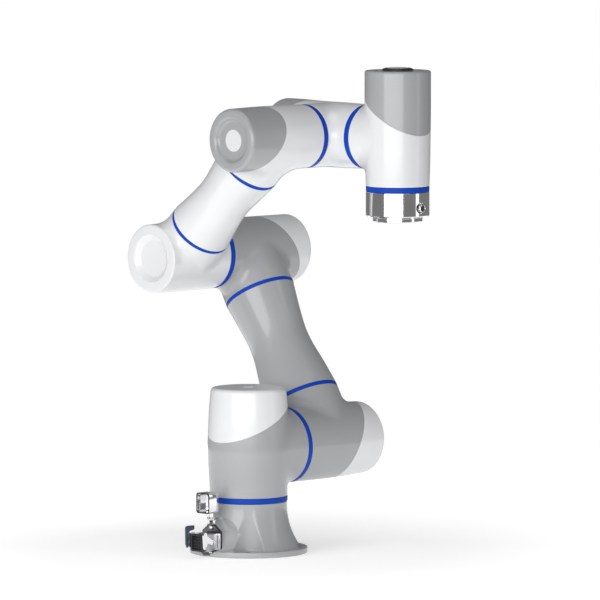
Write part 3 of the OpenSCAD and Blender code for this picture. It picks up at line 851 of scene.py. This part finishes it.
# ---------------------------------------------------------------- caps' small parts, button and tool flange
TOP_Z = box_mm("wrist2_cap")[1][2]
TOOL_Z = box_mm("tool_flange")[0][2]
PLUG_AT = 28  # of the small plugs from the last joint's axis
HOLES_AT = 25  # of the flange's bolt holes and dowel from the same axis
SOCKET_UP = 18.5  # of the tool connector above the flange's face


def quarter(i):
    """Direction of the i-th of four points at 45 degrees to the axes."""
    turn = math.radians(45 + 90 * i)
    return math.cos(turn), math.sin(turn)


def make_small_parts():
    inlay = lathe([(0, -0.3), (14, -0.3), (14, 0.3), (13.7, 0.6), (0, 0.6)], 96)
    place = local_frame([WRIST[0], FORE_Y - WRIST_CAP_END + DISH_DEPTH, WRIST[2]], X, -Y)
    publish("forearm_wrist_cap_inlay", inlay, place, WHITE, "forearm", "white_cap")
    top = box_mm("shoulder_cap")[1][2]
    mark = lathe([(0, -0.5), (7.6, -0.5), (7.6, 0.1), (7.2, 0.35), (6.6, 0.35), (6.2, 0.05), (0, 0.05)], 64)
    publish("shoulder_cap_plug", mark, local_frame([0, 0, top], X, Z), WHITE, "shoulder", "white_cap")
    crown = local_frame([LAST[0], LAST[1], TOP_Z], X, Z)
    for i in range(4):
        x, y = quarter(i)
        plug = lathe([(0, -0.6), (2.9, -0.6), (2.9, 0.05), (2.6, 0.22), (1.1, 0.22), (0.9, -0.1),
                      (0, -0.1)], 32)
        publish(f"wrist2_cap_plug_{i + 1}", placed(plug, at=(PLUG_AT * x, PLUG_AT * y, 0)),
                crown, DARK_PLUG, "wrist_2", "black_plastic")
    bezel = lathe([(13.8, 0), (19.7, 0), (19.7, 1.3), (19.4, 1.9), (18.7, 2.5), (16, 3.3), (14.4, 3.4),
                   (13.8, 3)], 96, closed=True)
    publish("wrist_bezel_ring", bezel, crown, BLACK, "wrist_2", "black_plastic", "wrist_bezel")
    dome = [(13.5 * math.sin(t), 4.3 - 1.0 * (1 - math.cos(t))) for t in np.linspace(0, math.pi / 2, 9)]
    button = lathe([*dome, (13.5, 1.8), (0, 1.8)], 96)
    publish("wrist_button_dome", button, crown, PALE, "button", "pale_button", "wrist_button")


def make_tool_flange():
    low, spigot, barrel, top = TOOL_Z, 31.5, RING_R[5], RINGS[5][0] - GAP
    shoulder = low + 6.9
    outline = [(15.75, low + 0.8), (16.4, low), (spigot - 0.9, low), (spigot, low + 0.9),
               (spigot, low + 4.6), (spigot - 1, low + 5.2), (spigot - 1, shoulder),
               (barrel - 1.4, shoulder), (barrel, shoulder + 1.4), (barrel, top - 0.5),
               (barrel - 0.5, top), (16, top), (15.75, low + 6.2), (15.75, low + 4)]
    body = lathe(outline, 192, closed=True)
    holes = [placed(rod(2.5, low - 1, low + 6.5, 0.1, 32), at=(HOLES_AT * x, HOLES_AT * y, 0))
             for x, y in map(quarter, range(4))]
    holes.append(placed(rod(3, low - 1, low + 6, 0.1, 32), at=(HOLES_AT, 0, 0)))
    holes.append(placed(rod(7, 33, 48, 0.1, 48), along_x=True, at=(0, 0, low + SOCKET_UP)))
    place = local_frame([LAST[0], LAST[1], 0], X, Z)
    publish("tool_flange_body", carve(body, *holes), place, FLANGE, "tool", "polished_flange", "tool_flange")
    socket = local_frame([LAST[0] + 33, LAST[1], low + SOCKET_UP], Z, X)
    collar = lathe([(0, 0), (5.6, 0), (5.6, 4.1), (5.1, 4.6), (0, 4.6)], 64)
    publish("tool_connector_collar", collar, socket, CHROME, "tool", "chrome_trim", "tool_connector")
    groove = lathe([(0, 4.6), (4.5, 4.6), (4.5, 6.2), (0, 6.2)], 64)
    publish("tool_connector_seal", groove, socket, BLACK, "tool", "black_plastic", "tool_connector")
    nut = lathe([(0, 7), (3.6, 7), (3.6, 11.4), (3.9, 11.8), (4.5, 11.8), (4.9, 11.2), (4.9, 6.8), (4.5, 6.2),
                 (0, 6.2)], 96, flutes=24, flute_depth=0.16)
    publish("tool_connector_nut", nut, socket, CHROME, "tool", "chrome_trim", "tool_connector")
    core = lathe([(0, 7), (3.5, 7), (3.5, 10), (3.2, 10.4), (0, 10.4)], 48)
    publish("tool_connector_core", core, socket, BLACK, "tool", "black_plastic", "tool_connector")


make_base()
make_plate()
make_screws()
make_housing()
make_insert()
make_levers()
make_cover()
make_small_parts()
make_tool_flange()

# ---------------------------------------------------------------- inner pieces: materials
INNER = {"reducer": STEEL, "rotor": STEEL, "stator": WINDING, "board": BOARD}
for name, node in frame["nodes"].items():
    found = INNER.get(name.split("_")[-1])
    if found:
        node.data.materials.clear()
        node.data.materials.append(found)


# ---------------------------------------------------------------- stage
FLOOR_REACH = 1.3
FLOOR_FADE = (0.25, 1.1)  # metres from the base's axis between which the floor's glow rises
# emission strength of the floor's painted glow, near the arm and at the rim
FLOOR_GLOW = (0.42, 0.95)
SURROUND = 0.2  # grey of the studio that the arm reflects


def around(angle, distance, height):
    """A place round the arm, angle degrees to the right of the camera's side."""
    turn = math.radians(CAMERA_AZIMUTH - 90 + angle)
    return distance * math.cos(turn), distance * math.sin(turn), height


def softbox(name, place, target, size, radiance, glossy=True):
    """A rectangular lamp whose face has this radiance; one that isn't glossy leaves no reflection."""
    data = bpy.data.lights.new(name, "AREA")
    data.shape = "RECTANGLE"
    data.size, data.size_y = size
    data.energy = radiance * math.pi * size[0] * size[1]
    light = bpy.data.objects.new(name, data)
    bpy.context.scene.collection.objects.link(light)
    light.location = place
    light.rotation_euler = (Vector(target) - Vector(place)).to_track_quat("-Z", "Y").to_euler()
    light.visible_camera = False
    light.visible_glossy = glossy


# The floor glows by emission, less near the arm and more towards its rim: painted light that burns the floor
# white round the arm's shadow and brightens the arm's undersides.
def add_floor():
    sides = 96
    mesh = bpy.data.meshes.new("floor")
    turns = [2 * math.pi * i / sides for i in range(sides)]
    rim = [(FLOOR_REACH * math.cos(t), FLOOR_REACH * math.sin(t), 0) for t in turns]
    mesh.from_pydata(rim, [], [range(sides)])
    floor = bpy.data.objects.new("floor", mesh)
    bpy.context.scene.collection.objects.link(floor)
    n = Nodes("floor_painted_glow")
    away = n.add("ShaderNodeVectorMath", Vector=n.position)
    away.operation = "LENGTH"
    glow = n.add("ShaderNodeMapRange", Value=away.outputs["Value"])
    for key, values in (("From", FLOOR_FADE), ("To", FLOOR_GLOW)):
        glow.inputs[f"{key} Min"].default_value, glow.inputs[f"{key} Max"].default_value = values
    # Painted light: the emission makes the floor glow, rising from near the arm to the rim.
    n.set(Base_Color=n.mix(n.noise(3, 3), (0.92, 0.92, 0.92), (0.94, 0.94, 0.94)), Roughness=1.0,
          Specular_IOR_Level=0.0, Emission_Color=(1, 1, 1, 1), Emission_Strength=glow.outputs[0])
    mesh.materials.append(n.material)


def add_world():
    """White behind the arm, grey all round it for the reflections."""
    world = bpy.data.worlds.new("studio")
    world.use_nodes = True
    tree = world.node_tree
    seen = tree.nodes.new("ShaderNodeLightPath").outputs["Is Camera Ray"]
    mix = tree.nodes.new("ShaderNodeMix")
    mix.data_type = "RGBA"
    tree.links.new(seen, mix.inputs[0])
    mix.inputs[6].default_value = (SURROUND, SURROUND, SURROUND, 1)
    mix.inputs[7].default_value = (1, 1, 1, 1)
    tree.links.new(mix.outputs[2], tree.nodes["Background"].inputs["Color"])
    bpy.context.scene.world = world


add_floor()
add_world()
arm_middle = (0.05, 0.05, 0.4)
softbox("front", around(-13, 3.2, 0.85), arm_middle, (4.4, 1.6), 3.6)
softbox("strip", around(76, 3.0, 1.1), arm_middle, (0.7, 2.2), 1.2)
softbox("left_fill", around(-62, 3.0, 1.2), arm_middle, (2.0, 2.0), 1.5, glossy=False)
softbox("overhead", (0.05, 0.05, 2.7), arm_middle, (1.6, 1.6), 1.4)
bpy.context.scene.view_settings.view_transform = "Standard"
